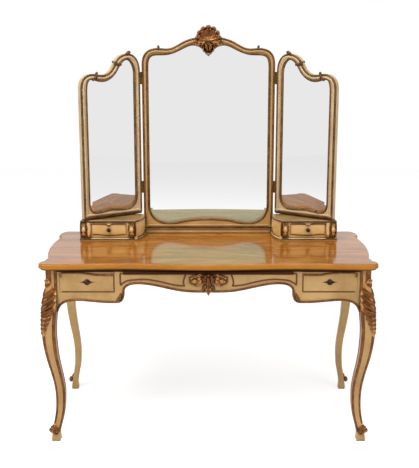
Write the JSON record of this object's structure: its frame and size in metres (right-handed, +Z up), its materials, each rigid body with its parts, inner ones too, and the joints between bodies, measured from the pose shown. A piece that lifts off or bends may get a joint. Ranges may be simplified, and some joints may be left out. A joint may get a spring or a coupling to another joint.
{
  "type": "dressing table with triple mirror",
  "caption": "Dressing table in the Louis XV manner with cabriole legs, frieze drawers, a hinged triple mirror and small drawered trinket boxes on its serpentine top.",
  "frame": {"origin": "on the floor, below the middle of the table top", "axes": "+Z up, the front with its drawers faces -Y, +X to the right seen from the front"},
  "size_m": [1.3606, 0.63, 1.69],
  "materials": {
    "painted_wood": "cream and ochre paint, rubbed at the edges, under old wax",
    "gilt_wood": "carved wood, bronze-gilt over red bole, toned",
    "veneer_top": "figured honey veneer with blue-green streaks, french polished",
    "drawer_wood": "plain oak and poplar inside work, waxed",
    "mirror_glass": "silvered bevelled plate glass",
    "backboard": "plain stained board",
    "hinge_brass": "aged brass",
    "lock_iron": "filed iron",
    "dark_bronze": "dark patinated bronze",
    "screw_steel": "old steel screws"
  },
  "bodies": {
    "root": {"table_top": "veneer_top", "top_screws": "screw_steel", "front_top_rail": "painted_wood", "centre_apron": "painted_wood", "back_apron": "painted_wood", "glue_blocks": "drawer_wood", "apron_cartouche": "gilt_wood", "mirror_plinth": "painted_wood", "centre_frame": "painted_wood", "centre_glass": "mirror_glass", "centre_backboard": "backboard", "shell_crest": "gilt_wood", "frame_hinge_leaves": "hinge_brass", "hinge_pins": "hinge_brass", "left_front_leg": "painted_wood", "left_back_leg": "painted_wood", "left_drawer_rail": "painted_wood", "left_divider_stile": "painted_wood", "left_side_apron": "painted_wood", "left_partition": "drawer_wood", "left_drawer_runners": "drawer_wood", "left_box_case": "painted_wood", "left_box_lid": "painted_wood", "right_front_leg": "painted_wood", "right_back_leg": "painted_wood", "right_drawer_rail": "painted_wood", "right_divider_stile": "painted_wood", "right_side_apron": "painted_wood", "right_partition": "drawer_wood", "right_drawer_runners": "drawer_wood", "right_box_case": "painted_wood", "right_box_lid": "painted_wood"},
    "left_drawer": {"left_drawer_front": "painted_wood", "left_drawer_sides": "drawer_wood", "left_drawer_back": "drawer_wood", "left_drawer_bottom": "drawer_wood", "left_lock_case": "lock_iron", "left_escutcheon": "dark_bronze"},
    "left_bolt": {"left_lock_bolt": "lock_iron"},
    "left_tray": {"left_tray_front": "painted_wood", "left_tray": "drawer_wood", "left_tray_knob": "dark_bronze"},
    "left_wing": {"left_wing_frame": "painted_wood", "left_wing_glass": "mirror_glass", "left_wing_backboard": "backboard", "left_wing_hinge_leaves": "hinge_brass"},
    "right_drawer": {"right_drawer_front": "painted_wood", "right_drawer_sides": "drawer_wood", "right_drawer_back": "drawer_wood", "right_drawer_bottom": "drawer_wood", "right_lock_case": "lock_iron", "right_escutcheon": "dark_bronze"},
    "right_bolt": {"right_lock_bolt": "lock_iron"},
    "right_tray": {"right_tray_front": "painted_wood", "right_tray": "drawer_wood", "right_tray_knob": "dark_bronze"},
    "right_wing": {"right_wing_frame": "painted_wood", "right_wing_glass": "mirror_glass", "right_wing_backboard": "backboard", "right_wing_hinge_leaves": "hinge_brass"}
  },
  "joints": [
    {"name": "left_drawer_slide", "type": "slide", "parent": "root", "child": "left_drawer", "axis": [0, -1, 0], "range_m": [0, 0.3]},
    {"name": "left_bolt_slide", "type": "slide", "parent": "left_drawer", "child": "left_bolt", "axis": [0, 0, 1], "range_m": [0, 0.006]},
    {"name": "left_tray_slide", "type": "slide", "parent": "root", "child": "left_tray", "axis": [0, -1, 0], "range_m": [0, 0.11]},
    {"name": "left_wing_swing", "type": "hinge", "parent": "root", "child": "left_wing", "pos_m": [-0.3, 0.284, 1.2], "axis": [0, 0, 1], "range_deg": [-36, 54]},
    {"name": "right_drawer_slide", "type": "slide", "parent": "root", "child": "right_drawer", "axis": [0, -1, 0], "range_m": [0, 0.3]},
    {"name": "right_bolt_slide", "type": "slide", "parent": "right_drawer", "child": "right_bolt", "axis": [0, 0, 1], "range_m": [0, 0.006]},
    {"name": "right_tray_slide", "type": "slide", "parent": "root", "child": "right_tray", "axis": [0, -1, 0], "range_m": [0, 0.11]},
    {"name": "right_wing_swing", "type": "hinge", "parent": "root", "child": "right_wing", "pos_m": [0.3, 0.284, 1.2], "axis": [0, 0, -1], "range_deg": [-36, 54]}
  ]
}
